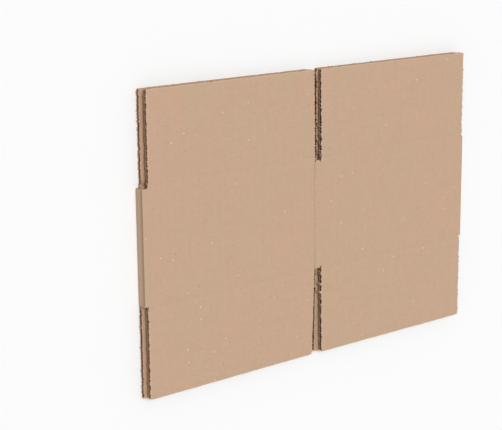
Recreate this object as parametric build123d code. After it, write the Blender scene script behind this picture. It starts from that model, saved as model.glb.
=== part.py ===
from build123d import *
from math import atan2, cos, degrees, pi, radians, sin, tan
import os

# A slotted box of single-wall corrugated board, knocked flat.
# One sheet is creased and slotted, folded over at two of its wall creases and glued to itself by
# a tab, so the flat box is one closed piece. Walls 1 and 4 lie on the table, walls 2 and 3 on them.
# X runs along the folded length, Y along the height of the walls, Z through the thickness.
# The origin is on the table, under the middle of the box. All sizes are in millimetres.

# Corrugated board
board = 3.0
liner = 0.3
medium = 0.4
flute_pitch = 6.4

# Walls, from a folded edge to the next crease, and flaps, from their crease to the cut edge
long_wall = 155.5
short_wall = 153.5
wall_height = 84.0
flap_height = 64.5

# Slots between the flaps: how far they run past the flap creases, and how far they are
# off the wall creases
slot_width = 6.4
slot_overrun = 1.5
slot_offset = 2.1
joint_slot_offset = -1.1

# Creases: a rounded dent in both faces of the board, with the flutes crushed beside it
crease_radius = 1.6
crease_outside = 0.3
crease_inside = 0.8
crushed_flutes = 2.5

# Folded ends: the gap between the layers, the board crushed round the bend, and the length
# over which the layers close up behind it
layer_gap = 0.4
fold_board = 1.9
fold_throat = 5.0

# Glue tab: the crushed end of the sheet, lapped over the inside of wall 4
tab_length = 35.0
tab_thickness = 1.6
tab_clearance = 0.3
tab_taper = 12.0
tab_bend_start = 2.5
tab_bend_gap = 0.6

# Share of the pitch from a flute's middle to each corner of its channel
channel_corners = (0.42, 0.27, 0.11)

# Sizes that follow
box_length = long_wall + short_wall
box_height = wall_height + 2 * flap_height
band_half = wall_height / 2 - slot_overrun
fold_radius = board + layer_gap / 2
fold_x = box_length / 2 - fold_radius
flap_start = slot_width / 2 - fold_radius

open_crease_x = short_wall - box_length / 2
tab_crease_x = long_wall - box_length / 2
tab_tip_x = tab_crease_x + tab_length
joint_slot_x = tab_crease_x + joint_slot_offset
joint_edge_x = joint_slot_x + slot_width / 2

# The upper layer rises from both folds to its open crease, just enough to clear the tab's tip
tab_rise = tab_thickness + tab_clearance - layer_gap
ridge_rise = tab_rise * (fold_x - open_crease_x) / (fold_x - tab_tip_x)
tilt_right = degrees(atan2(ridge_rise, fold_x - open_crease_x))
tilt_left = degrees(atan2(ridge_rise, fold_x + open_crease_x))


def channel(middle, pitch, from_top):
    """The open space under one wave of the medium, as a face across the flutes."""
    rise = board - 2 * liner - medium
    base, *waist = channel_corners
    half = [(base * pitch, 0)]
    half += [(share * pitch, rise * (1 + cos(2 * pi * share)) / 2) for share in waist]
    corners = [(-x, z) for x, z in half] + half[::-1]
    if from_top:
        return Polygon(*[(middle + x, board - liner - z) for x, z in corners], align=None)
    return Polygon(*[(middle + x, liner + z) for x, z in corners], align=None)


def flap_section(start, end):
    """The board cut across its flutes, with half a flute open along each side edge."""
    count = round((end - start) / flute_pitch)
    pitch = (end - start) / count
    section = Pos((start + end) / 2, board / 2) * Rectangle(end - start, board)
    low = [channel(start + i * pitch, pitch, False) for i in range(count + 1)]
    high = [channel(start + (i + 0.5) * pitch, pitch, True) for i in range(count)]
    return section - (low + high)


def dent(length, depth, face_z, outwards):
    """The rod that presses a crease of this depth into a face at face_z, lying along X."""
    rod = Rot(0, 90, 0) * Cylinder(crease_radius, length)
    return Pos(0, 0, face_z + outwards * (crease_radius - depth)) * rod


def flap(start, end, top_depth, bottom_depth):
    """One flap at the +Y end of a wall, with its crease."""
    root_length = slot_overrun + crushed_flutes
    root_middle = band_half + root_length / 2
    root = Pos((start + end) / 2, root_middle, board / 2) * Box(end - start, root_length, board)
    cut_edge = Plane.XZ.offset(-box_height / 2)
    fluted = extrude(cut_edge * flap_section(start, end), flap_height - crushed_flutes)
    creased = root + fluted
    for depth, face_z, outwards in ((top_depth, board, 1), (bottom_depth, 0, -1)):
        creased -= Pos((start + end) / 2, wall_height / 2, 0) * dent(end - start, depth, face_z, outwards)
    return creased


def wall(reach, flap_end, top_depth, bottom_depth):
    """A wall and its two flaps lying flat, from a fold's middle at x = 0 to the crease at reach."""
    band = Pos(reach / 2, 0, board / 2) * Box(reach, 2 * band_half, board)
    one_flap = flap(flap_start, flap_end, top_depth, bottom_depth)
    return band + one_flap + mirror(one_flap, Plane.XZ)


def rounded_end(tilt):
    """The outside of the right-hand fold, from the lower wall round to the tilted upper one."""
    lower = (fold_x, 0)
    middle = (fold_x + fold_radius, fold_radius)
    upper_inside = (fold_x, board + layer_gap)
    upper = (fold_x + board * sin(radians(tilt)), board + layer_gap + board * cos(radians(tilt)))
    outline = ThreePointArc(lower, middle, upper) + Polyline(upper, upper_inside, lower)
    return extrude(Plane.XZ * make_face(outline), band_half, both=True)


def fold_hollow():
    """The drop-shaped space inside the right-hand fold."""
    bend = Pos(fold_x, fold_radius) * Circle(fold_radius - fold_board)
    throat = Pos(fold_x - fold_throat, fold_radius) * Rectangle(layer_gap, layer_gap)
    drop = make_hull(bend.edges() + throat.edges())
    return extrude(Plane.XZ * drop, band_half, both=True)


def glue_tab():
    """The bend up from wall 1 and the tab on the inside of wall 4, narrowed towards its tip."""
    start_x = tab_crease_x - tab_bend_start
    top = board + tab_thickness
    profile = Polygon(
        (start_x, 0),
        (tab_crease_x - tab_bend_gap, liner),
        (joint_edge_x - tab_bend_gap, board),
        (tab_tip_x, board),
        (tab_tip_x, top),
        (tab_crease_x, top),
        (start_x, board),
        align=None,
    )
    tip_half = band_half - tab_length * tan(radians(tab_taper))
    plan = Polygon(
        (start_x, -band_half),
        (tab_crease_x, -band_half),
        (tab_tip_x, -tip_half),
        (tab_tip_x, tip_half),
        (tab_crease_x, band_half),
        (start_x, band_half),
        align=None,
    )
    return extrude(Plane.XZ * profile, band_half, both=True) & extrude(plan, top)


def open_crease():
    """The two dents that run along Y between walls 2 and 3."""
    under = board + layer_gap + ridge_rise
    outside = dent(2 * band_half, crease_outside, under + board, 1)
    inside = dent(2 * band_half, crease_inside, under, -1)
    return Pos(open_crease_x, 0, 0) * Rot(0, 0, 90) * (outside + inside)


def flattened_box():
    """The whole folded and glued sheet."""
    lap = crease_radius / 4
    turned = Rot(0, 0, 180)
    on_left = Pos(-fold_x, 0, 0)
    on_right = Pos(fold_x, 0, 0) * turned
    lifted = Pos(0, 0, board + layer_gap)

    wall_1 = on_left * wall(
        fold_x + tab_crease_x - tab_bend_start,
        fold_x + joint_slot_x - slot_width / 2,
        crease_inside,
        crease_outside,
    )
    wall_4 = on_right * wall(fold_x - joint_edge_x, fold_x - joint_edge_x, crease_inside, crease_outside)
    slot_x = open_crease_x + slot_offset
    wall_2 = on_left * lifted * Rot(0, -tilt_left, 0) * wall(
        fold_x + open_crease_x + lap,
        fold_x + slot_x - slot_width / 2,
        crease_outside,
        crease_inside,
    )
    wall_3 = on_right * lifted * Rot(0, -tilt_right, 0) * wall(
        fold_x - open_crease_x + lap,
        fold_x - slot_x - slot_width / 2,
        crease_outside,
        crease_inside,
    )
    right_end = rounded_end(tilt_right)
    left_end = mirror(rounded_end(tilt_left), Plane.YZ)
    hollow = fold_hollow()
    upper = wall_2 + wall_3 - open_crease()
    lower = wall_1 + glue_tab() + wall_4
    return upper + right_end + left_end + lower - hollow - mirror(hollow, Plane.YZ)


os.makedirs("parts", exist_ok=True)
box = flattened_box()
export_step(box, "parts/flattened_box.step")
size = box.bounding_box().size
print(f"flattened_box: {len(box.solids())} solid, {size.X:.2f} x {size.Y:.2f} x {size.Z:.2f} mm")
print(f"volume {box.volume:.0f} mm3, {len(box.faces())} faces")
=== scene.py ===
import math

import bpy
from mathutils import Matrix, Vector, noise
from mathutils.geometry import delaunay_2d_cdt


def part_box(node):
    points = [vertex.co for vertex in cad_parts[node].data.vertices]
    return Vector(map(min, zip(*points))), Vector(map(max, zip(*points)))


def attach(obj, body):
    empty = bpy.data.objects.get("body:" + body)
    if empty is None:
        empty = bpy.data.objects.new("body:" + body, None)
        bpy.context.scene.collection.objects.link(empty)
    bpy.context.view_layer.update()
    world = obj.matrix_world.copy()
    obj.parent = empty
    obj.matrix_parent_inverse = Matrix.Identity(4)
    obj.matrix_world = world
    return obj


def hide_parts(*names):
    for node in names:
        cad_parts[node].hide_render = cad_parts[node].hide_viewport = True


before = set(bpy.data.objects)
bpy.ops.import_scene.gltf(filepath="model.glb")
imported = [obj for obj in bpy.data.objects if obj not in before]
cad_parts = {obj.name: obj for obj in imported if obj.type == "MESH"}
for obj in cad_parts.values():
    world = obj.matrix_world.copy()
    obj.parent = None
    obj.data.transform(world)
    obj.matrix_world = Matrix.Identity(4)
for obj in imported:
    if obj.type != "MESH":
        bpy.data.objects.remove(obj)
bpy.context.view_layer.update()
far_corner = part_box("flattened_box")[1]

# A slotted corrugated box, knocked flat. Its sheet is made as a blank, laid out along u from the
# tip of the glue tab to the free edge of wall 3, and y up the flutes. FoldedSheet then folds it.
# Walls and flaps are numbered from 0 in that order. Sizes are in millimetres, and MM turns them
# into the scene's metres.
MM = 0.001

# Board: its thickness, that of its liners and medium, the least that presses leave of it, and how
# far apart its flutes are
BOARD = 3.0
LINER = 0.3
MEDIUM = 0.22
LEAST_BOARD = 2.5 * LINER
FLUTE_PITCH = 6.4

# Walls, slots and creases; no slot cuts the band between BAND_HALF on both sides of the middle, and
# the flap creases lie at WALL_HALF
LONG_WALL = 155.5
SHORT_WALL = 152.5
BAND_HALF = 40.5
WALL_HALF = 42.0
SLOT_WIDTH = 6.4
SLOT_OFFSET = 3.1
JOINT_SLOT_OFFSET = -1.1
CREASE_OUTSIDE = 0.15
CREASE_INSIDE = 0.8
CREASE_HALF_WIDTH = 2.4
OPEN_CREASE_OUTSIDE = 0.34
OPEN_CREASE_HALF_WIDTH = 1.2
CRUSHED_FLUTES = 4.0

# Folds and glue tab; the folds spring open and hold the two layers apart
LAYER_GAP = 2.0
FOLD_BOARD = 1.9
FOLD_THROAT = 5.0
FOLD_ARC = 8.0
FOLD_SQUARENESS = 0.32
FOLD_BULGE = 1.05
FOLD_VALLEY = 0.3
SCORE_RISE = 0.8
SCORE_DEPTH = 0.35
SCORE_HALF_WIDTH = 0.25
TAB_LENGTH = 35.0
TAB_THICKNESS = 1.6
TAB_CLEARANCE = 0.3
TAB_TAPER = 12.0
TAB_BEND_START = 2.5
TAB_BEND_GAP = 0.6

# Knife-cut edges: the teeth that the slotting knives leave and the finer ones along the trim
TOOTH_PITCH = 2.1
TOOTH_JITTER = 1.5
SLOT_TEETH = 0.7
TRIM_TEETH = 0.12
LEAST_TOOTH = 0.3
TOOTH_SWELL = 0.4
CUT_DRIFT = 0.2
DRIFT_LENGTH = 9

# How ragged a cut is between its teeth: the length of each raggedness, and its seed
RAGGEDNESS = ((0.8, 0), (3.1, 3))

# The rim that a knife presses down, unevenly, and how far the lighter cut rim reaches: torn fibres,
# partly a painted highlight
RIM_CRUSH = 0.3
RIM_WIDTH = 1.1
RIM_LEAST = 0.6
RIM_SWELL = 0.8
RIM_PATCH = 7
FRAY_WIDTH = 2.0

# Worn corners of the flaps: how far they are pushed in and pressed flat, how far that reaches, how
# much it differs, and how far apart the noise is read for the two ends
CORNER_WEAR = 0.25
CORNER_CRUSH = 0.3
CORNER_REACH = 3.0
CORNER_SWELL = 0.8
CORNER_APART = 9

# Each kind of unevenness has a seed of its own
CORNER_SEED = 0.5
RIM_SEED = 3
TORN_SEED = 4
DRIFT_SEED = 5
WAVE_SEED = 6
MEDIUM_SEED = 8

# The outside faces dip a little between the tips of the flutes
WASHBOARD = 0.038

# The walls of the upper layer, and those whose fold lies at their far end along u
UPPER_WALLS = (1, 2)
FOLD_AT_END = (0, 2)

# How far each upper flap settles towards the lower ones beside its slot, by wall and end, and the
# share of that curve that the flap is long enough for
FLAP_SAG = {(1, 1): 0.8, (2, 1): 1.0, (1, -1): 1.2, (2, -1): 0.9}
SAG_CURVE = 0.8

# How far the upper flaps wave, and how far apart the waves are
FLAP_WAVE = 0.4
WAVE_LENGTH = 45.0

# The slots were cut a little off the creases, some flaps lean, and wall 3 was glued a little askew.
# By wall and end, how far the flap's side edges are out of place: at the root of its slot, at the
# free corner beside the slot, and beside the fold
FLAP_SHIFTS = {
    (0, -1): (0.0, -0.6, -3.2),
    (0, 1): (0.0, -0.5, -0.9),
    (1, -1): (-0.5, -2.0, -1.0),
    (1, 1): (0.0, 0.0, 1.5),
    (2, -1): (0.0, 1.0, 2.2),
    (2, 1): (0.0, 0.3, 2.0),
    (3, -1): (-0.4, -1.9, -0.5),
    (3, 1): (0.7, 0.6, -0.5),
}

# How far past the end of a slot the shifted edges start
NOTCH_STEP = 0.8

# Dark lines painted on the outside, partly the creases' pressed mark and partly painted shade: on a
# fold's side, inside its upper and lower shoulder, from one height to another as shares of its rise,
# and along the open crease, more beside the slots; the upper shoulder's painted shade is the stronger
UPPER_LINE = 1.2
LOWER_LINE = 0.3
LINE_START = 0.35
LINE_FADE_IN = 0.4
LINE_END = 0.88
LINE_FADE_OUT = 0.07
OPEN_LINE = 0.3
OPEN_LINE_BY_SLOT = 0.5
OPEN_LINE_HALF_WIDTH = 0.9

# Mesh steps: along u, along y, along the cuts and beside the creases, and rows of the medium, which
# crowd towards a flap's root
STEPS_PER_FLUTE = 4
FOLD_STEPS = 24
ROW_STEP = 6.0
EDGE_STEP = 0.7
TEETH_STEP = 0.5
TRIM_STEP = 1.0
LEAST_STEP = 0.25
CREASE_STEPS = (0.0, 0.4, 0.8, 1.2, 1.8, 2.6)
CREASE_STRIP = 4.0
WAVE_STEPS = 12
BAND_ROWS = 5
FLAP_ROWS = 14
ROOT_CROWDING = 1.8

# Rows of points along the cut edges, how much room each needs, and how many rim widths the grid
# keeps away from them
RIM_ROWS = (0.5, RIM_WIDTH)
RIM_ROW_ROOM = 0.6
GRID_CLEARANCE = 1.6

# Lengths this small count as none, and points this near each other are merged
TOUCHING = 0.01
MERGED = 0.001
BLANK_MERGED = 1e-4

# Side edges get no tags or marks this near the end of a slot
SLOT_END = 1.0

# Edges of a mesh that turn by more degrees than this stay sharp
SHARP_ANGLE = 40

# The folded box along x and y from its middle, and how much higher the upper layer lies at the open
# crease than at the folds, so that it clears the glue tab
HALF_LENGTH = far_corner.x / MM
HALF_HEIGHT = far_corner.y / MM
FOLD_RADIUS = BOARD + LAYER_GAP / 2
FOLD_X = HALF_LENGTH - FOLD_RADIUS
OPEN_CREASE_X = SHORT_WALL - HALF_LENGTH
TAB_CREASE_X = LONG_WALL - HALF_LENGTH
JOINT_EDGE_X = TAB_CREASE_X + JOINT_SLOT_OFFSET + SLOT_WIDTH / 2
RIDGE_RISE = (
    (TAB_THICKNESS + TAB_CLEARANCE - LAYER_GAP)
    * (FOLD_X - OPEN_CREASE_X) / (FOLD_X - TAB_CREASE_X - TAB_LENGTH)
)

# Where the walls begin and end along u; a fold lies between 0 and 1 and between 2 and 3
WALL_0_END = TAB_CREASE_X + FOLD_X
WALL_1_START = WALL_0_END + FOLD_ARC
WALL_2_START = WALL_1_START + FOLD_X + OPEN_CREASE_X
WALL_2_END = WALL_2_START + FOLD_X - OPEN_CREASE_X
WALL_3_START = WALL_2_END + FOLD_ARC
WALL_3_END = WALL_3_START + FOLD_X - JOINT_EDGE_X

# The flaps' side edges along u
SLOT_MIDDLE = WALL_2_START + SLOT_OFFSET
FLAPS = (
    (-JOINT_SLOT_OFFSET + SLOT_WIDTH / 2, WALL_0_END),
    (WALL_1_START, SLOT_MIDDLE - SLOT_WIDTH / 2),
    (SLOT_MIDDLE + SLOT_WIDTH / 2, WALL_2_END),
    (WALL_3_START, WALL_3_END),
)


def ease(t):
    """A smooth step from 0 to 1."""
    t = min(max(t, 0.0), 1.0)
    return t * t * (3 - 2 * t)


def dip(distance, depth, half_width):
    """The depth of a rounded dent at this distance from its middle."""
    share = abs(distance) / half_width
    return depth * (1 - share * share) ** 2 if share < 1 else 0.0


def flute_side(wall):
    """1 where the flute at a flap's side edge touches the outer liner, -1 where the inner one."""
    return 1 if wall in UPPER_WALLS else -1


def flutes_in(start, end):
    """How many flutes fill a stretch of the blank."""
    return max(round((end - start) / FLUTE_PITCH), 1)


def wall_at(u):
    """The number of the wall that u lies on or nearest to."""
    return min(range(len(FLAPS)), key=lambda i: max(FLAPS[i][0] - u, u - FLAPS[i][1]))


def end_at(y):
    """1 at the end of the box that y lies towards, or -1 at the other."""
    return 1 if y > 0 else -1


def uneven(x, y, seed):
    """Smooth noise from about -1 to 1 at a place, with a pattern for each seed."""
    return noise.noise(Vector((x, y, seed)))


def corner_wear(u, y):
    """1 at a flap's free corners and 0 away from them, more on some than on others."""
    start, end = FLAPS[wall_at(u)]
    from_side = min(abs(u - start), abs(end - u))
    place = (round(u / CORNER_REACH), math.copysign(CORNER_APART, y))
    wear = 1 + CORNER_SWELL * uneven(*place, CORNER_SEED)
    return wear * dip(math.hypot(from_side, HALF_HEIGHT - abs(y)), 1.0, CORNER_REACH)


class FoldedSheet:
    """Where a point of the flat blank lies once the sheet is folded and glued."""

    def faces(self, u, y):
        """The outer and inner face of the board at u, as (x, z) pairs."""
        crushed = 1 - ease((abs(y) - BAND_HALF) / CRUSHED_FLUTES)
        folds = abs(y) <= BAND_HALF
        stretch = 0.0 if folds else FOLD_ARC / 2
        if u <= WALL_0_END + stretch:
            x = TAB_CREASE_X - u
            bend = TAB_CREASE_X - TAB_BEND_START
            outer = BOARD * ease((x - bend) / (JOINT_EDGE_X - TAB_BEND_GAP - bend))
            inner = BOARD + TAB_THICKNESS * ease((x - bend) / TAB_BEND_START)
            return (x, outer), (x, inner - crushed * self.pinch(x + FOLD_X))
        if folds and u < WALL_1_START:
            return self.bend(-1, math.pi * (u - WALL_0_END) / FOLD_ARC)
        if u <= WALL_2_START:
            x = u - WALL_1_START - FOLD_X
            run = x + FOLD_X
            under = BOARD + LAYER_GAP + RIDGE_RISE * run / (FOLD_X + OPEN_CREASE_X)
            return (x, under + BOARD), (x, under + crushed * self.pinch(run))
        if u <= WALL_2_END + stretch:
            x = u - WALL_2_START + OPEN_CREASE_X
            run = FOLD_X - x
            under = BOARD + LAYER_GAP + RIDGE_RISE * run / (FOLD_X - OPEN_CREASE_X)
            return (x, under + BOARD), (x, under + crushed * self.pinch(run))
        if folds and u < WALL_3_START:
            return self.bend(1, math.pi * (1 - (u - WALL_2_END) / FOLD_ARC))
        x = FOLD_X - (u - WALL_3_START)
        return (x, 0.0), (x, BOARD - crushed * self.pinch(FOLD_X - x))

    def pinch(self, run):
        """How much thinner the board is at this distance from a folded edge."""
        return (BOARD - FOLD_BOARD) * ease(1 - run / FOLD_THROAT)

    def bend(self, side, angle):
        """The two faces round a flat-sided fold; the angle runs up from the table."""
        along = math.sin(angle) ** FOLD_SQUARENESS * FOLD_BULGE
        up = self.fold_rise(angle)
        valley = FOLD_VALLEY * (1 - up * up) ** 2 + SCORE_DEPTH * self.scored(up)
        inside = FOLD_RADIUS - FOLD_BOARD
        return tuple(
            (side * (FOLD_X + along * radius - valley), FOLD_RADIUS + up * radius)
            for radius in (FOLD_RADIUS, inside)
        )

    def fold_rise(self, angle):
        """How high a fold's side is at this angle: -1 at the lower face, 1 at the upper one."""
        return math.copysign(abs(math.cos(angle)) ** FOLD_SQUARENESS, -math.cos(angle))

    def scored(self, up):
        """1 in the two score lines along a fold's side, just inside its shoulders."""
        return dip(abs(up) - SCORE_RISE, 1.0, SCORE_HALF_WIDTH)

    def cut_distance(self, u, y):
        """How far a point of the blank is from the nearest knife cut."""
        y = abs(y)
        start, end = FLAPS[wall_at(u)]
        if y > BAND_HALF:
            return max(min(u - start, end - u, HALF_HEIGHT - y), 0.0)
        ends = [WALL_3_END - u]
        if u < 0:
            narrowing = math.tan(math.radians(TAB_TAPER))
            ends += [u + TAB_LENGTH, BAND_HALF + narrowing * u - y]
        if not start <= u <= end:
            ends.append(BAND_HALF - y)
        return max(min(ends), 0.0)

    def dents(self, u, y):
        """How far creases, knives and knocks dent the outer and the inner face."""
        from_flap_crease = abs(y) - WALL_HALF
        outer = dip(from_flap_crease, CREASE_OUTSIDE, CREASE_HALF_WIDTH)
        inner = dip(from_flap_crease, CREASE_INSIDE, CREASE_HALF_WIDTH)
        if abs(y) <= BAND_HALF:
            outer = max(outer, dip(u - WALL_2_START, OPEN_CREASE_OUTSIDE, OPEN_CREASE_HALF_WIDTH))
            inner = max(inner, dip(u - WALL_2_START, CREASE_INSIDE, CREASE_HALF_WIDTH))
        rim = RIM_CRUSH * (1 - min(self.cut_distance(u, y) / RIM_WIDTH, 1.0)) ** 2
        rim *= RIM_LEAST + RIM_SWELL * uneven(u / RIM_PATCH, y / RIM_PATCH, RIM_SEED)
        pressed = max(rim, CORNER_CRUSH * corner_wear(u, y))
        hollow = WASHBOARD * self.hollow(u)
        return max(outer, pressed) + hollow, max(inner, pressed) + WASHBOARD - hollow

    def hollow(self, u):
        """1 where the outer liner lies over a gap between flutes, 0 where it lies on a flute's tip."""
        wall = wall_at(u)
        start, end = FLAPS[wall]
        turns = (u - start) / (end - start) * flutes_in(start, end)
        flat = ease(min(u - start, end - u) / FOLD_THROAT)
        return 0.5 - 0.5 * flat * flute_side(wall) * math.cos(2 * math.pi * turns)

    def crease_mark_and_shade(self, u, y):
        """How strongly the painted dark line of a fold or of the open crease shows: pressed mark and
        painted shade.
        """
        if abs(y) > BAND_HALF:
            return 0.0
        for start, rising in ((WALL_0_END, 1), (WALL_2_END, -1)):
            if start < u < start + FOLD_ARC:
                up = self.fold_rise(math.pi * (u - start) / FOLD_ARC) * rising
                line = UPPER_LINE if up > 0 else LOWER_LINE
                begun = ease((abs(up) - LINE_START) / LINE_FADE_IN)
                over = ease((abs(up) - LINE_END) / LINE_FADE_OUT)
                return line * begun * (1 - over)
        near_slot = ease(2 * abs(y) / BAND_HALF - 1)
        line = OPEN_LINE + OPEN_LINE_BY_SLOT * near_slot
        return dip(u - WALL_2_START, line, OPEN_LINE_HALF_WIDTH)

    def reach(self, y):
        """0 at a flap's root and 1 at its free edge."""
        return max(abs(y) - BAND_HALF, 0.0) / (HALF_HEIGHT - BAND_HALF)

    def sag(self, u, y):
        """How far an upper flap has dropped."""
        wall = wall_at(u)
        if wall not in UPPER_WALLS:
            return 0.0
        across = ease(1 - abs(u - SLOT_MIDDLE) / (FOLD_X + abs(OPEN_CREASE_X)))
        wave = FLAP_WAVE * uneven(u / WAVE_LENGTH, y / WAVE_LENGTH, WAVE_SEED)
        settled = FLAP_SAG[wall, end_at(y)] * ease(SAG_CURVE * self.reach(y))
        return across * (settled + wave * self.reach(y))

    def lean(self, u, y):
        """How far a flap has moved sideways in its own plane."""
        wall = wall_at(u)
        start, end = FLAPS[wall]
        from_fold = (u - start) / (end - start)
        if wall in FOLD_AT_END:
            from_fold = 1 - from_fold
        root, corner, beside_fold = FLAP_SHIFTS[wall, end_at(y)]
        on_flap = ease((abs(y) - BAND_HALF) / NOTCH_STEP)
        at_slot = root * on_flap + (corner - root) * self.reach(y)
        return at_slot * from_fold + beside_fold * on_flap * (1 - from_fold)

    def thickness(self, u, y):
        """The board's thickness left between its dented faces."""
        (outer_x, outer_z), (inner_x, inner_z) = self.faces(u, y)
        dented = sum(self.dents(u, y))
        return max(math.hypot(outer_x - inner_x, outer_z - inner_z) - dented, LEAST_BOARD)

    def place(self, u, y, height):
        """The point at this height over the inner face."""
        (outer_x, outer_z), (inner_x, inner_z) = self.faces(u, y)
        full = math.hypot(outer_x - inner_x, outer_z - inner_z)
        share = (self.dents(u, y)[1] + height) / full
        x = inner_x + (outer_x - inner_x) * share + self.lean(u, y)
        z = inner_z + (outer_z - inner_z) * share - self.sag(u, y)
        return Vector((x, y, z))


SHEET = FoldedSheet()


# The blank's outline, with the marks that the slotting knives leave

# Small tags and nicks on the slots' right-hand edge: place along y, how far it stands out into the
# slot, and its half-width
SLOT_MARKS = ((-53.5, 1.9, 1.2), (-59.6, 2.3, 1.1), (68.0, -0.9, 0.7), (-78.0, 0.6, 1.2))

# Cuts that run on into the wall at the end of an open slot: the slot's end, the place from the
# slot's middle, the depth and the half-width
SLOT_OVERCUTS = ((-1, 2.7, 1.6, 0.9), (1, 1.9, 1.4, 0.9), (1, -2.6, 1.1, 0.7))


def knife_cut(start, end, seed):
    """Points from start up to, but not at, end along one serrated cut."""
    start, end = Vector(start), Vector(end)
    run = end - start
    trimmed = abs(run.x) > abs(run.y)
    depth = TRIM_TEETH if trimmed else SLOT_TEETH
    steps = max(round(run.length / (TRIM_STEP if trimmed else TEETH_STEP)), 1)
    along = run.normalized()
    out = Vector((along.y, -along.x))
    points = [start]
    for step in range(1, steps):
        travel = run.length * step / steps
        ragged = sum(uneven(travel / length, seed, kind) for length, kind in RAGGEDNESS)
        drift = uneven(travel / DRIFT_LENGTH, seed, DRIFT_SEED)
        wave = math.sin(2 * math.pi * (travel / TOOTH_PITCH + TOOTH_JITTER * drift))
        teeth = (LEAST_TOOTH + TOOTH_SWELL * abs(drift)) * wave + ragged
        points.append(start + along * travel + out * (depth * teeth + CUT_DRIFT * drift))
    return points


def plain_cut(start, end):
    """Points from start up to, but not at, end along one straight cut."""
    start, end = Vector(start), Vector(end)
    steps = max(round((end - start).length * FOLD_STEPS / FOLD_ARC), 1)
    return [start.lerp(end, step / steps) for step in range(steps)]


def slot_mark(point):
    """The point moved by the tags, nicks and overcuts of the open slots."""
    from_middle = point.x - SLOT_MIDDLE
    if abs(abs(point.y) - BAND_HALF) < TOUCHING and abs(from_middle) < SLOT_WIDTH / 2:
        end = end_at(point.y)
        overcuts = [cut[1:] for cut in SLOT_OVERCUTS if cut[0] == end]
        run_on = sum(dip(from_middle - place, depth, half) for place, depth, half in overcuts)
        return Vector((point.x, point.y - end * run_on))
    right_edge = SLOT_MIDDLE + SLOT_WIDTH / 2
    if abs(point.x - right_edge) > 2 * SLOT_TEETH or abs(point.y) < BAND_HALF + SLOT_END:
        return point
    pull = sum(dip(point.y - y, out, half) for y, out, half in SLOT_MARKS)
    return Vector((point.x - pull, point.y))


def worn_corner(point):
    """The point pushed towards the middle of its flap where it lies at a free corner."""
    start, end = FLAPS[wall_at(point.x)]
    inwards = Vector((math.copysign(1, (start + end) / 2 - point.x), -math.copysign(1, point.y)))
    return point + inwards.normalized() * CORNER_WEAR * corner_wear(point.x, point.y)


def blank_outline():
    """The outline of the blank, anticlockwise, as points in the plane of u and y."""
    tip = BAND_HALF - TAB_LENGTH * math.tan(math.radians(TAB_TAPER))
    upper = [(WALL_3_END, HALF_HEIGHT)]
    for number, (start, end) in reversed(list(enumerate(FLAPS))):
        if number < len(FLAPS) - 1:
            upper += [(end, BAND_HALF), (end, HALF_HEIGHT)]
        upper += [(start, HALF_HEIGHT), (start, BAND_HALF)]
    upper += [(0.0, BAND_HALF), (-TAB_LENGTH, tip)]
    lower = [(u, -y) for u, y in reversed(upper)]
    corners = upper + lower
    outline = []
    for number, start in enumerate(corners):
        end = corners[(number + 1) % len(corners)]
        slot_end = start[1] == end[1] and math.dist(start, end) < 2 * SLOT_WIDTH
        outline += plain_cut(start, end) if slot_end else knife_cut(start, end, number)
    return [worn_corner(slot_mark(point)) for point in outline]


def ways_out(outline):
    """The direction out of the blank at each point of its outline."""
    count = len(outline)
    tangents = [outline[(number + 1) % count] - outline[number - 1] for number in range(count)]
    return [Vector((tangent.y, -tangent.x)).normalized() for tangent in tangents]


def lines_between(start, end, step):
    """Evenly spaced values from start to end, about a step apart."""
    count = max(round((end - start) / step), 1)
    return [start + (end - start) * i / count for i in range(count + 1)]


def apart(values):
    """The values in order, without those that nearly repeat the one before."""
    kept = []
    for value in sorted(values):
        if not kept or value - kept[-1] >= LEAST_STEP:
            kept.append(value)
    return kept


def blank_points(outline):
    """Points inside the outline: a grid that is finer at the folds, creases and cut edges."""
    columns = lines_between(-TAB_LENGTH, -TAB_BEND_START, ROW_STEP)
    columns += lines_between(-TAB_BEND_START, FLAPS[0][0], EDGE_STEP)
    for start, end in FLAPS:
        flute = (end - start) / flutes_in(start, end)
        columns += lines_between(start, end, flute / STEPS_PER_FLUTE)
    for start in (WALL_0_END, WALL_2_END):
        columns += lines_between(start, start + FOLD_ARC, FOLD_ARC / FOLD_STEPS)
    columns += [WALL_2_START + side * offset for side in (-1, 1) for offset in CREASE_STEPS]
    inner_end = WALL_HALF - CREASE_STRIP
    rows = lines_between(-inner_end, inner_end, ROW_STEP)
    for side in (-1, 1):
        rows += [side * WALL_HALF + way * offset for way in (-1, 1) for offset in CREASE_STEPS[::2]]
        rows += [side * y for y in lines_between(WALL_HALF + CREASE_STRIP, HALF_HEIGHT, ROW_STEP)]
    rows = apart(rows)
    points = []
    for u in apart(columns):
        for y in rows:
            if SHEET.cut_distance(u, y) > RIM_WIDTH * GRID_CLEARANCE:
                points.append(Vector((u, y)))
    ways = ways_out(outline)
    for number in range(0, len(outline), 2):
        for depth in RIM_ROWS:
            inner = outline[number] - ways[number] * depth
            if SHEET.cut_distance(inner.x, inner.y) > depth * RIM_ROW_ROOM:
                points.append(inner)
    return points


def blank_mesh(outline):
    """The blank's points and triangles, in the plane of u and y."""
    border = list(range(len(outline)))
    edges = [(i, (i + 1) % len(outline)) for i in border]
    points = outline + blank_points(outline)
    only_inside = 1
    made = delaunay_2d_cdt(points, edges, [border], only_inside, BLANK_MERGED)
    return made[0], made[2]


def border_edges(triangles):
    """The directed edges that only one triangle uses."""
    used = set()
    for triangle in triangles:
        for i, start in enumerate(triangle):
            used.add((start, triangle[(i + 1) % len(triangle)]))
    return [edge for edge in sorted(used) if (edge[1], edge[0]) not in used]


def finished_object(name, points, faces, material, smooth=True):
    """A piece with its mesh in place, from points in millimetres."""
    mesh = bpy.data.meshes.new(name)
    mesh.from_pydata([Vector(point) * MM for point in points], [], faces)
    mesh.validate()
    mesh.materials.append(material)
    if smooth:
        mesh.shade_smooth()
        mesh.set_sharp_from_angle(angle=math.radians(SHARP_ANGLE))
    made = bpy.data.objects.new(name, mesh)
    bpy.context.scene.collection.objects.link(made)
    return made


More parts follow.
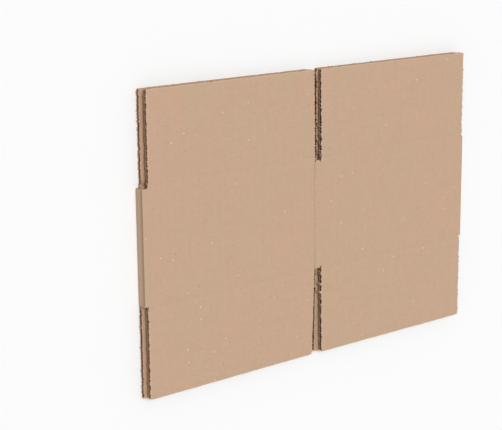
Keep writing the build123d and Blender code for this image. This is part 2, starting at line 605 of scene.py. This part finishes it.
def mark(made, label, values):
    """Stores one number for each point of a piece, for its material."""
    attribute = made.data.attributes.new(label, "FLOAT", "POINT")
    attribute.data.foreach_set("value", values)


def liner(name, flat, triangles, outer, material):
    """One paper face of the board, with its own thickness."""
    top, bottom = [], []
    for u, y in flat:
        thickness = SHEET.thickness(u, y)
        heights = (thickness, thickness - LINER) if outer else (LINER, 0.0)
        top.append(SHEET.place(u, y, heights[0]))
        bottom.append(SHEET.place(u, y, heights[1]))
    count = len(flat)
    faces = [tuple(reversed(triangle)) for triangle in triangles]
    faces += [tuple(i + count for i in triangle) for triangle in triangles]
    faces += [(a, b, b + count, a + count) for a, b in border_edges(triangles)]
    made = finished_object(name, top + bottom, faces, material)
    # How near a cut, for the lighter rim there: torn fibres, and partly a painted highlight
    fray_and_highlight = [1 - min(SHEET.cut_distance(*point) / FRAY_WIDTH, 1.0) for point in flat]
    mark(made, "fray_and_highlight", fray_and_highlight * 2)
    # The dark lines of folds and open crease: partly the creases' pressed mark, partly painted shade
    mark(made, "crease_mark_and_shade", [SHEET.crease_mark_and_shade(*point) for point in flat] * 2)
    # Where the liner dips over a gap between flutes, for a little painted shade there
    mark(made, "hollow", [SHEET.hollow(point.x) for point in flat] * 2)
    # Painted shade in the flute channels: 1 on the outer liner's lower face and the inner liner's upper
    # face
    shade_above, shade_below = (0.0, 1.0) if outer else (1.0, 0.0)
    mark(made, "inside", [shade_above] * count + [shade_below] * count)
    return made


# Nodes

class Value:
    """What a node gives; arithmetic on it adds Math nodes."""

    def __init__(self, nodes, socket):
        self.nodes = nodes
        self.socket = socket

    def worked(self, operation, first, second):
        """The result of a Math node."""
        return self.nodes.node("ShaderNodeMath", {0: first, 1: second}, operation=operation)

    def __add__(self, other):
        return self.worked("ADD", self, other)

    def __radd__(self, other):
        return self.worked("ADD", other, self)

    def __sub__(self, other):
        return self.worked("SUBTRACT", self, other)

    def __rsub__(self, other):
        return self.worked("SUBTRACT", other, self)

    def __mul__(self, other):
        return self.worked("MULTIPLY", self, other)

    def __rmul__(self, other):
        return self.worked("MULTIPLY", other, self)

    def __truediv__(self, other):
        return self.worked("DIVIDE", self, other)

    def __gt__(self, other):
        return self.worked("GREATER_THAN", self, other)

    def most(self, other):
        """The greater of two values."""
        return self.worked("MAXIMUM", self, other)


class Nodes:
    """Builds one tree of nodes."""

    def __init__(self, tree):
        self.tree = tree

    def node(self, kind, inputs=None, output=0, **settings):
        """What a new node gives for these settings and a value or a link for each socket."""
        made = self.tree.nodes.new(kind)
        for label, value in settings.items():
            setattr(made, label, value)
        for label, value in (inputs or {}).items():
            self.feed(made.inputs[label], value)
        return Value(self, made.outputs[output])

    def feed(self, socket, value):
        """Links a value to a socket, or sets the socket to a plain number or colour."""
        if isinstance(value, Value):
            self.tree.links.new(value.socket, socket)
        else:
            socket.default_value = value


# What repeats is grown by geometry nodes

class Tree(Nodes):
    """Builds one tree of geometry nodes, with named inputs, each of its own kind."""

    def __init__(self, name, **sizes):
        super().__init__(bpy.data.node_groups.new(name, "GeometryNodeTree"))
        sockets = self.tree.interface
        for label, kind in sizes.items():
            sockets.new_socket(label, in_out="INPUT", socket_type=f"NodeSocket{kind}")
        sockets.new_socket("Geometry", in_out="OUTPUT", socket_type="NodeSocketGeometry")
        self.sizes = self.tree.nodes.new("NodeGroupInput").outputs

    def size(self, label):
        """One of the named inputs."""
        return Value(self, self.sizes[label])

    def end(self, copies):
        """Makes the copies real, joins them, gives them their paper and ends the tree."""
        real = self.node("GeometryNodeRealizeInstances", {"Geometry": copies})
        joined = self.node("GeometryNodeMergeByDistance", {"Geometry": real, "Distance": MERGED})
        painted = self.node("GeometryNodeSetMaterial", {
            "Geometry": joined, "Material": self.size("Paper"),
        })
        self.feed(self.tree.nodes.new("NodeGroupOutput").inputs[0], painted)
        return self.tree


def flute_tree():
    """Repeats one wave of paper across a stretch of board."""
    build = Tree(
        "fluted_medium", Pitch="Float", Flutes="Int", Height="Float", Rows="Int", Paper="Material"
    )
    pitch = build.size("Pitch")
    wave = build.node("GeometryNodeMeshGrid", {
        "Size X": pitch, "Size Y": build.size("Height"),
        "Vertices X": WAVE_STEPS + 1, "Vertices Y": build.size("Rows"),
    })
    position = build.node("GeometryNodeInputPosition")
    angle = build.node("ShaderNodeSeparateXYZ", {0: position}, "X") / pitch * (2 * math.pi)
    crest = build.node("ShaderNodeMath", {0: angle}, operation="COSINE")
    rise = build.node("ShaderNodeCombineXYZ", {"Z": crest})
    raised = build.node("GeometryNodeSetPosition", {"Geometry": wave, "Offset": rise})
    step = build.node("ShaderNodeCombineXYZ", {"X": pitch})
    places = build.node("GeometryNodeMeshLine", {"Count": build.size("Flutes"), "Offset": step})
    copies = build.node("GeometryNodeInstanceOnPoints", {"Points": places, "Instance": raised})
    return build.end(copies)


# A torn tag is a flat cone of four sides, and its tip is this share of its width
TAG_SIDES = 4
TAG_TIP = 0.45

# The least and the most that a tag is tilted and scaled at random, and what each adds to the seed
TAG_TILT = ((-1.0, -1.0, -0.4), (1.0, 1.0, 0.4), 1.0)
TAG_SCALE = ((0.4, 0.6, 0.3), (1.3, 1.4, 1.3), 2.0)


def tag_tree():
    """Sets small torn tags of paper on some of the points of an edge, pointing out of the board."""
    build = Tree(
        "torn_tags", Edge="Geometry", Length="Float", Width="Float", Flatness="Float",
        Spread="Float", Share="Float", Seed="Int", Paper="Material",
    )
    width, seed = build.size("Width"), build.size("Seed")
    cone = build.node("GeometryNodeMeshCone", {
        "Vertices": TAG_SIDES, "Radius Bottom": width, "Radius Top": width * TAG_TIP,
        "Depth": build.size("Length"),
    })
    pressed = build.node("ShaderNodeCombineXYZ", {"X": 1.0, "Y": build.size("Flatness"), "Z": 1.0})
    tag = build.node("GeometryNodeTransform", {"Geometry": cone, "Scale": pressed})

    def random_vector(least, most, shift):
        """A vector between two others, picked at random for each tag."""
        limits = {"Min": least, "Max": most, "Seed": seed + shift}
        return build.node("FunctionNodeRandomValue", limits, data_type="FLOAT_VECTOR")

    out = build.node(
        "GeometryNodeInputNamedAttribute", {"Name": "outwards"}, "Attribute", data_type="FLOAT_VECTOR"
    )
    tilt = build.node("ShaderNodeVectorMath", {
        0: random_vector(*TAG_TILT), "Scale": build.size("Spread"),
    }, operation="SCALE")
    way = build.node("ShaderNodeVectorMath", {0: out, 1: tilt}, operation="ADD")
    aimed = build.node("FunctionNodeAlignRotationToVector", {"Vector": way}, axis="Z")
    level = build.node("FunctionNodeAlignRotationToVector", {
        "Rotation": aimed, "Vector": (0.0, 0.0, 1.0),
    }, axis="Y", pivot_axis="Z")
    yes_or_no = 3
    picked = build.node("FunctionNodeRandomValue", {
        "Probability": build.size("Share"), "Seed": seed,
    }, yes_or_no, data_type="BOOLEAN")
    copies = build.node("GeometryNodeInstanceOnPoints", {
        "Points": build.size("Edge"), "Selection": picked, "Instance": tag, "Rotation": level,
        "Scale": random_vector(*TAG_SCALE),
    })
    return build.end(copies)


def evaluated(made):
    """The plain mesh that an object's modifiers make; the object is removed."""
    bpy.context.view_layer.update()
    graph = bpy.context.evaluated_depsgraph_get()
    mesh = bpy.data.meshes.new_from_object(made.evaluated_get(graph), depsgraph=graph)
    bpy.data.objects.remove(made)
    return mesh


def grown(tree, name, values, mesh=None):
    """The plain mesh that a tree of geometry nodes makes from these values."""
    seed = bpy.data.objects.new(name, mesh or bpy.data.meshes.new(name))
    bpy.context.scene.collection.objects.link(seed)
    modifier = seed.modifiers.new("grow", "NODES")
    modifier.node_group = tree
    for item in tree.interface.items_tree:
        if item.in_out == "INPUT" and item.name in values:
            modifier[item.identifier] = values[item.name]
    return evaluated(seed)


def gathered(name, meshes, material):
    """One piece made of several meshes."""
    points, faces = [], []
    for mesh in meshes:
        first = len(points)
        points += [vertex.co.copy() for vertex in mesh.vertices]
        faces += [tuple(first + i for i in face.vertices) for face in mesh.polygons]
    return finished_object(name, points, faces, material)


# The fluted medium, made wave by wave

# How far it was cut back from the liners' edges, how far its waves wander and how much lower they
# are where they do, and how large the patches of that are along u and y
MEDIUM_CUT_BACK = 0.3
FLUTE_WANDER = 0.35
CREST_LOSS = 0.1
WANDER_PATCH = (11, 13)


def fluted_stretch(tree, name, side, start, end, first, last, rows, crowding, material):
    """The medium over one stretch of the blank, with its rows crowded towards the first."""
    count = flutes_in(start, end)
    pitch = (end - start) / count
    values = {"Pitch": pitch, "Flutes": count, "Height": 1.0, "Rows": rows, "Paper": material}
    mesh = grown(tree, name, values)
    for vertex in mesh.vertices:
        u = start + pitch / 2 + vertex.co.x
        y = first + (last - first) * max(vertex.co.y + 0.5, 0.0) ** crowding
        wander = uneven(u / WANDER_PATCH[0], y / WANDER_PATCH[1], MEDIUM_SEED)
        crest = side * vertex.co.z * (1 - CREST_LOSS * abs(wander))
        moved = FLUTE_WANDER * wander * math.sin(math.pi * (u - start) / (end - start))
        u = min(max(u + moved, start), end)
        space = SHEET.thickness(u, y) - 2 * LINER - MEDIUM
        vertex.co = SHEET.place(u, y, LINER + MEDIUM / 2 + space * (0.5 - 0.5 * crest))
    sheet = bpy.data.objects.new(name, mesh)
    bpy.context.scene.collection.objects.link(sheet)
    paper = sheet.modifiers.new("paper", "SOLIDIFY")
    paper.thickness = MEDIUM
    paper.offset = 0
    paper.use_even_offset = False
    return evaluated(sheet)


def fluted_medium(material):
    """The whole fluted sheet between the liners."""
    tree = flute_tree()
    root = BAND_HALF - MEDIUM_CUT_BACK
    free_edge = HALF_HEIGHT - MEDIUM_CUT_BACK
    sides = (-TAB_LENGTH + MEDIUM_CUT_BACK, WALL_3_END - MEDIUM_CUT_BACK)
    meshes = [fluted_stretch(tree, "band", 1, *sides, -root, root, BAND_ROWS, 1.0, material)]
    for wall, (start, end) in enumerate(FLAPS):
        sides = (start + MEDIUM_CUT_BACK, end - MEDIUM_CUT_BACK)
        for box_end in (1, -1):
            ends = (box_end * root, box_end * free_edge)
            meshes.append(fluted_stretch(
                tree, f"flap_{wall}", flute_side(wall), *sides, *ends, FLAP_ROWS, ROOT_CROWDING, material
            ))
    return gathered("fluted_medium", meshes, material)


# Torn tags of paper along the cut edges

TAG_SIZES = {"Length": 0.5, "Width": 0.34, "Flatness": 0.3, "Spread": 0.6, "Share": 0.4}
MEDIUM_TAG_SIZES = {"Length": 1.3, "Width": 0.5, "Flatness": 0.3, "Spread": 0.7, "Share": 0.6}

# Tags sit this deep in the edge, on one point in so many along the trim, and aim at a point this
# far out
TAG_DEPTH = 0.1
TRIM_TAG_STEP = 7
AIM_DISTANCE = 0.2

# The medium's tags sit up to this far behind its edge, unevenly, on the side of its last wave
TORN_REACH = 1.7
TORN_REACH_MEAN = 0.5
TORN_REACH_SWELL = 0.8
TORN_PATCH = 1.1
WAVE_SIDE = 0.4


def cut_edge(places):
    """A mesh of loose points, each with the way out of the board, from (u, y, height, way) rows."""
    here, beyond = [], []
    for u, y, height, way in places:
        here.append(SHEET.place(u, y, height))
        beyond.append(SHEET.place(u + way.x * AIM_DISTANCE, y + way.y * AIM_DISTANCE, height))
    mesh = bpy.data.meshes.new("cut_edge")
    mesh.from_pydata(here, [], [])
    outwards = mesh.attributes.new("outwards", "FLOAT_VECTOR", "POINT")
    for value, start, end in zip(outwards.data, here, beyond):
        value.vector = (end - start).normalized()
    return mesh


def torn_edges(outline, material):
    """The torn tags on both liners' edges and on the medium's edges beside the slots."""
    tree = tag_tree()
    outer, inner, between = [], [], []
    for number, (point, way) in enumerate(zip(outline, ways_out(outline))):
        if abs(way.y) > abs(way.x) and number % TRIM_TAG_STEP:
            continue
        u, y = point - way * TAG_DEPTH
        thickness = SHEET.thickness(u, y)
        outer.append((u, y, thickness - LINER / 2, way))
        inner.append((u, y, LINER / 2, way))
        if abs(y) > BAND_HALF + SLOT_END and abs(way.x) > abs(way.y):
            share = TORN_REACH_MEAN + TORN_REACH_SWELL * uneven(u, y / TORN_PATCH, TORN_SEED)
            behind = min(max(TORN_REACH * share, 0.0), TORN_REACH) + MEDIUM_CUT_BACK
            crest = flute_side(wall_at(u)) * math.cos(2 * math.pi * behind / FLUTE_PITCH)
            height = LINER + (thickness - 2 * LINER) * (0.5 + WAVE_SIDE * crest)
            between.append((u - way.x * behind, y, height, way))
    edges = ((outer, TAG_SIZES), (inner, TAG_SIZES), (between, MEDIUM_TAG_SIZES))
    meshes = []
    for seed, (places, sizes) in enumerate(edges):
        values = {**sizes, "Seed": seed, "Paper": material}
        meshes.append(grown(tree, "tags", values, cut_edge(places)))
    made = gathered("torn_edges", meshes, material)
    for vertex in made.data.vertices:
        vertex.co.z = max(vertex.co.z, 0.0)
    return made


# Materials

class Shading(Nodes):
    """Builds the nodes of a material or of the world."""

    def __init__(self, owner):
        owner.use_nodes = True
        super().__init__(owner.node_tree)

    def seen(self):
        """1 for what the eye meets, straight or in gloss and glass, and 0 for light on its way."""
        rays = [
            self.node("ShaderNodeLightPath", output=f"Is {kind} Ray")
            for kind in ("Camera", "Glossy", "Transmission")
        ]
        return rays[0].most(rays[1]).most(rays[2])


class Paint(Shading):
    """Builds the nodes of one material."""

    # The sockets of a node that mixes colours
    MIX_FACTOR, MIX_A, MIX_B, MIX_RESULT = 0, 6, 7, 2

    # How far scattered flecks waver from a regular shape, and over what size in millimetres
    WAVER = 0.9
    WAVER_SIZE = 1.25

    def __init__(self, name):
        self.material = bpy.data.materials.new(name)
        super().__init__(self.material)
        self.shader = self.tree.nodes["Principled BSDF"]

    def surface(self, **inputs):
        """Feeds the shader's own sockets."""
        for label, value in inputs.items():
            self.feed(self.shader.inputs[label.replace("_", " ")], value)

    def stored(self, label):
        """A number stored on the piece's points."""
        return self.node("ShaderNodeAttribute", output="Fac", attribute_name=label)

    def millimetres(self, stretch=(1, 1, 1), turn=0, rolled=False):
        """Object coordinates in millimetres, turned about Z and divided by the stretch.

        Rolled ones go on over the sides of the folds, for patterns that only read X and Y.
        """
        place = self.node("ShaderNodeTexCoord", output="Object")
        scale = tuple(MM * s for s in stretch)
        if rolled:
            up = {0: place, 1: (0.0, 0.0, 1.0)}
            height = self.node("ShaderNodeVectorMath", up, "Value", operation="DOT_PRODUCT")
            shift = self.node("ShaderNodeCombineXYZ", {"X": height})
            place = self.node("ShaderNodeVectorMath", {0: place, 1: shift}, operation="ADD")
        return self.node("ShaderNodeMapping", {
            "Vector": place, "Scale": scale, "Rotation": (0.0, 0.0, math.radians(turn)),
        }, vector_type="TEXTURE")

    def grain(self, size, stretch=(1, 1, 1), detail=2.0, rough=0.5):
        """Smooth noise from 0 to 1, with patches of about this size in millimetres."""
        return self.node("ShaderNodeTexNoise", {
            "Vector": self.millimetres(stretch), "Scale": 1 / size, "Detail": detail,
            "Roughness": rough,
        }, noise_dimensions="3D")

    def cells(self, size, stretch=(1, 1, 1), turn=0):
        """Over the plane of the board, the distance to the nearest scattered point and its chance."""
        place = self.millimetres(stretch, turn, rolled=True)
        waver = {"Vector": self.millimetres(), "Scale": 1 / self.WAVER_SIZE, "Detail": 1.0}
        bent = self.scaled(self.node("ShaderNodeTexNoise", waver, "Color"), self.WAVER)
        place = self.node("ShaderNodeVectorMath", {0: place, 1: bent}, operation="ADD")
        inputs = {"Vector": place, "Scale": 1 / size}
        distance, colour = (
            self.node("ShaderNodeTexVoronoi", inputs, output, voronoi_dimensions="2D")
            for output in ("Distance", "Color")
        )
        return distance, self.node("ShaderNodeSeparateColor", {0: colour})

    def between(self, value, start, end):
        """0 below start, 1 above end, and a smooth step between."""
        inputs = {"Value": value, "From Min": start, "From Max": end}
        return self.node("ShaderNodeMapRange", inputs, interpolation_type="SMOOTHSTEP")

    def mixed(self, factor, first, second):
        """A colour between two colours."""
        inputs = {self.MIX_FACTOR: factor, self.MIX_A: first, self.MIX_B: second}
        return self.node("ShaderNodeMix", inputs, self.MIX_RESULT, data_type="RGBA")

    def scaled(self, colour, amount):
        """A colour or a vector times an amount."""
        return self.node("ShaderNodeVectorMath", {0: colour, "Scale": amount}, operation="SCALE")

    def bump(self, height):
        """A normal bent by a height in millimetres."""
        return self.node("ShaderNodeBump", {"Height": height, "Strength": 1.0, "Distance": MM})


def shade(red, green, blue):
    """A screen's colour, from 0 to 255, as the linear colour that nodes take, by the sRGB curve."""
    def linear(value):
        """One channel of it."""
        value /= 255
        return value / 12.92 if value <= 0.04045 else ((value + 0.055) / 1.055) ** 2.4
    return (linear(red), linear(green), linear(blue), 1.0)


# The paper's grains: size in millimetres, stretch, detail and roughness
CLOUDS = {"size": 26, "stretch": (1, 1.7, 1), "detail": 3.0}
STREAKS = {"size": 2.6, "stretch": (1, 12, 1)}
FELT = {"size": 3.2, "stretch": (1.5, 1, 1), "detail": 3.0, "rough": 0.6}
FIBRES = {"size": 0.8, "stretch": (3, 1, 1), "detail": 4.0, "rough": 0.7}
RAGS = {"size": 1.1, "detail": 3.0}

# Where in their noise the clouds and the lighter cut rim, torn fibres and partly a painted highlight,
# start and are whole
CLOUD_RANGE = (0.35, 0.65)
FRAY_RANGE = (0.5, 0.9)

# How much each grain and each line lightens or darkens the paper
FELT_TONE = 0.12
FIBRE_TONE = 0.24
STREAK_TONE = 0.05
# Painted shade: the paper is darkened a little where the outer liner dips over a gap between flutes
HOLLOW_SHADE = 0.006
# Painted dark lines along folds and the open crease: partly the creases' pressed mark, partly painted
# shade
LINE_MARK_AND_SHADE = 0.35

# How far the fibres and the felt stand out, on the liners and on rougher paper
FIBRE_RELIEF = 0.07
FELT_RELIEF = 0.05
ROUGH_RELIEF = 0.06

# How rough the liners are, how much that differs, and how ragged the edge of their frayed rim is
ROUGHNESS = 0.82
ROUGHNESS_SWING = 0.12
RAG_SWING = 0.5

# Round specks and bent fibres: how far apart they may lie, the share of such places that has one,
# and which ways fibres run, in degrees, each way a little further apart than the one before
PALE_SPECKS = {"spacing": 11, "radius": 0.8, "share": 0.09}
BROWN_SPECKS = {"spacing": 10, "radius": 0.5, "share": 0.05}
PALE_FIBRES = {"spacing": 3.0, "share": 0.12, "turns": (35, -50, 5)}
BROWN_FIBRES = {"spacing": 3.4, "share": 0.12, "turns": (80, -20, 25)}
FIBRE_RADIUS = 0.15
FIBRE_STRETCH = (7, 1, 1)
FIBRE_SPREAD = 0.7
FLECK_CORE = 0.5

# How much of each colour shows over the one below it
PALE_FIBRES_SHOWN = 0.7
PALE_SHOWN = 0.6
BROWN_SHOWN = 0.5
CHANNEL_SHADE_SHOWN = 0.85
FRAY_AND_HIGHLIGHT_SHOWN = 0.6


def flecks(paint, spacing, radius, share, stretch=(1, 1, 1), turn=0):
    """Scattered flecks: 1 inside one, 0 between them."""
    distance, chance = paint.cells(spacing, stretch, turn)
    size = radius / spacing
    return paint.between(distance, size, size * FLECK_CORE) * (chance > 1 - share)


def fibre_flecks(paint, spacing, share, turns):
    """Thin bent fibres that lie in several directions: 1 on one, 0 between them."""
    lying = []
    for number, turn in enumerate(turns):
        apart_by = spacing + FIBRE_SPREAD * number
        lying.append(flecks(paint, apart_by, FIBRE_RADIUS, share, FIBRE_STRETCH, turn))
    return sum(lying[1:], lying[0])


def swing(grain, amount):
    """A grain from 0 to 1 as a change up and down, by this amount in all."""
    return amount * (grain - 0.5)


def kraft_paper(name, face, warm, frayed_and_highlight, channel):
    """Unbleached liner: cloudy colour, fibres, pale and dark flecks, painted shade on its faces inside
    the flutes, painted dark lines along folds and crease that are partly pressed marks and partly shade,
    and a lighter cut rim of torn fibres that is partly a painted highlight.
    """
    paint = Paint(name)
    clouds = paint.between(paint.grain(**CLOUDS), *CLOUD_RANGE)
    streaks = paint.grain(**STREAKS)
    felt = paint.grain(**FELT)
    fibres = paint.grain(**FIBRES)
    light = 1.0 + swing(felt, FELT_TONE) + swing(fibres, FIBRE_TONE) + swing(streaks, STREAK_TONE)
    # Painted shade: a little in the washboard's dips, and the dark lines of folds and crease, which are
    # partly pressed marks
    light = light - HOLLOW_SHADE * paint.stored("hollow") - LINE_MARK_AND_SHADE * paint.stored("crease_mark_and_shade")
    colour = paint.scaled(paint.mixed(clouds, face, warm), light)
    pale = flecks(paint, **PALE_SPECKS) + PALE_FIBRES_SHOWN * fibre_flecks(paint, **PALE_FIBRES)
    brown = fibre_flecks(paint, **BROWN_FIBRES) + flecks(paint, **BROWN_SPECKS)
    colour = paint.mixed(pale * PALE_SHOWN, colour, PALE_FLECK)
    colour = paint.mixed(brown * BROWN_SHOWN, colour, BROWN_FLECK)
    # Painted shade in the flute channels: the liners' faces towards the medium are darkened
    colour = paint.mixed(paint.stored("inside") * CHANNEL_SHADE_SHOWN, colour, channel)
    ragged = paint.between(paint.stored("fray_and_highlight") + swing(paint.grain(**RAGS), RAG_SWING), *FRAY_RANGE)
    # The lighter cut rim: torn fibres, and partly a painted highlight along the knife-bent edge
    colour = paint.mixed(ragged * FRAY_AND_HIGHLIGHT_SHOWN, colour, frayed_and_highlight)
    paint.surface(
        Base_Color=colour, Roughness=ROUGHNESS + swing(fibres, ROUGHNESS_SWING),
        Specular_IOR_Level=0.25, Normal=paint.bump(fibres * FIBRE_RELIEF + felt * FELT_RELIEF),
    )
    return paint.material


def rough_paper(name, size, dark, pale):
    """Rough paper in two tones, for the medium and for torn bits."""
    paint = Paint(name)
    fibres = paint.grain(size, stretch=(1, 3, 1), detail=3.0, rough=0.7)
    colour = paint.mixed(paint.between(fibres, start=0.35, end=0.7), dark, pale)
    relief = paint.bump(fibres * ROUGH_RELIEF)
    paint.surface(Base_Color=colour, Roughness=0.9, Specular_IOR_Level=0.1, Normal=relief)
    return paint.material


# The box

PALE_FLECK = shade(236, 219, 202)
BROWN_FLECK = shade(128, 90, 62)
# The painted shade of the flute channels, laid on the liners' faces towards the medium
CHANNEL_SHADE = shade(132, 91, 57)
LINER_OUT = kraft_paper(
    "outer_kraft", face=shade(203, 169, 143), warm=shade(200, 170, 142),
    frayed_and_highlight=shade(216, 186, 158), channel=CHANNEL_SHADE,
)
LINER_IN = kraft_paper(
    "inner_kraft", face=shade(192, 158, 130), warm=shade(188, 158, 129),
    frayed_and_highlight=shade(206, 174, 146), channel=CHANNEL_SHADE,
)
FLUTING = rough_paper("fluting_paper", size=0.9, dark=shade(96, 60, 31), pale=shade(140, 97, 60))
TORN = rough_paper("torn_paper", size=0.7, dark=shade(146, 108, 76), pale=shade(214, 184, 154))

outline = blank_outline()
flat, triangles = blank_mesh(outline)
pieces = (
    liner("outer_liner", flat, triangles, outer=True, material=LINER_OUT),
    liner("inner_liner", flat, triangles, outer=False, material=LINER_IN),
    fluted_medium(FLUTING),
    torn_edges(outline, TORN),
)
for piece in pieces:
    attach(piece, "root")
    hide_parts("flattened_box")


# Floor, light and camera

WHITE = (1.0, 1.0, 1.0, 1.0)

# The floor's grey, what it glows to the camera so that it looks white, and half its width
FLOOR_GREY = 0.86
FLOOR_GLOW = 1 - FLOOR_GREY
FLOOR_HALF = 4000.0


def pale_floor():
    """A plain floor that looks white to the camera and keeps the box's shadow."""
    paint = Paint("pale_floor")
    paint.surface(Base_Color=(FLOOR_GREY, FLOOR_GREY, FLOOR_GREY, 1.0), Roughness=0.9)
    paint.surface(Emission_Color=WHITE, Emission_Strength=paint.seen() * FLOOR_GLOW)
    square = ((-1, -1), (1, -1), (1, 1), (-1, 1))
    corners = [(x * FLOOR_HALF, y * FLOOR_HALF, 0) for x, y in square]
    floor = finished_object("floor", corners, [(0, 1, 2, 3)], paint.material, smooth=False)


def white_world(level):
    """Even light from all sides, seen as white behind the floor."""
    world = bpy.data.worlds.new("studio")
    bpy.context.scene.world = world
    sky = Shading(world)
    background = sky.tree.nodes["Background"]
    sky.feed(background.inputs["Color"], WHITE)
    sky.feed(background.inputs["Strength"], sky.seen() * (1 - level) + level)


def soft_sun(direction, strength, spread):
    """Even light from one direction, with soft shadows."""
    data = bpy.data.lights.new("key_light", "SUN")
    data.energy = strength
    data.angle = math.radians(spread)
    lamp = bpy.data.objects.new("key_light", data)
    lamp.rotation_euler = Vector(direction).to_track_quat("Z", "Y").to_euler()
    bpy.context.scene.collection.objects.link(lamp)


def turned_camera(aim, azimuth, elevation, distance, roll, lens):
    """A camera that looks down on the aim, turned so that the box's height runs up the picture."""
    a, e, r = (math.radians(angle) for angle in (azimuth, elevation, roll))
    back = Vector((math.sin(a) * math.cos(e), -math.cos(a) * math.cos(e), math.sin(e)))
    level = Vector((0, 0, 1)).cross(back).normalized()
    upright = back.cross(level)
    right = level * math.cos(r) + upright * math.sin(r)
    up = upright * math.cos(r) - level * math.sin(r)
    data = bpy.data.cameras.new("camera")
    data.lens = lens
    camera = bpy.data.objects.new("camera", data)
    turn = Matrix((right, up, back)).transposed().to_4x4()
    camera.matrix_world = Matrix.Translation(Vector(aim) + back * distance) @ turn
    bpy.context.scene.collection.objects.link(camera)
    bpy.context.scene.camera = camera


pale_floor()
white_world(level=0.42)
soft_sun(direction=(-0.25, 0.33, 1.0), strength=1.83, spread=25)
turned_camera(
    aim=(-0.05583, 0.00706, 0.0), azimuth=-110.33, elevation=49.25, distance=0.99806,
    roll=105.11, lens=100.86,
)
bpy.context.scene.view_settings.view_transform = "Standard"
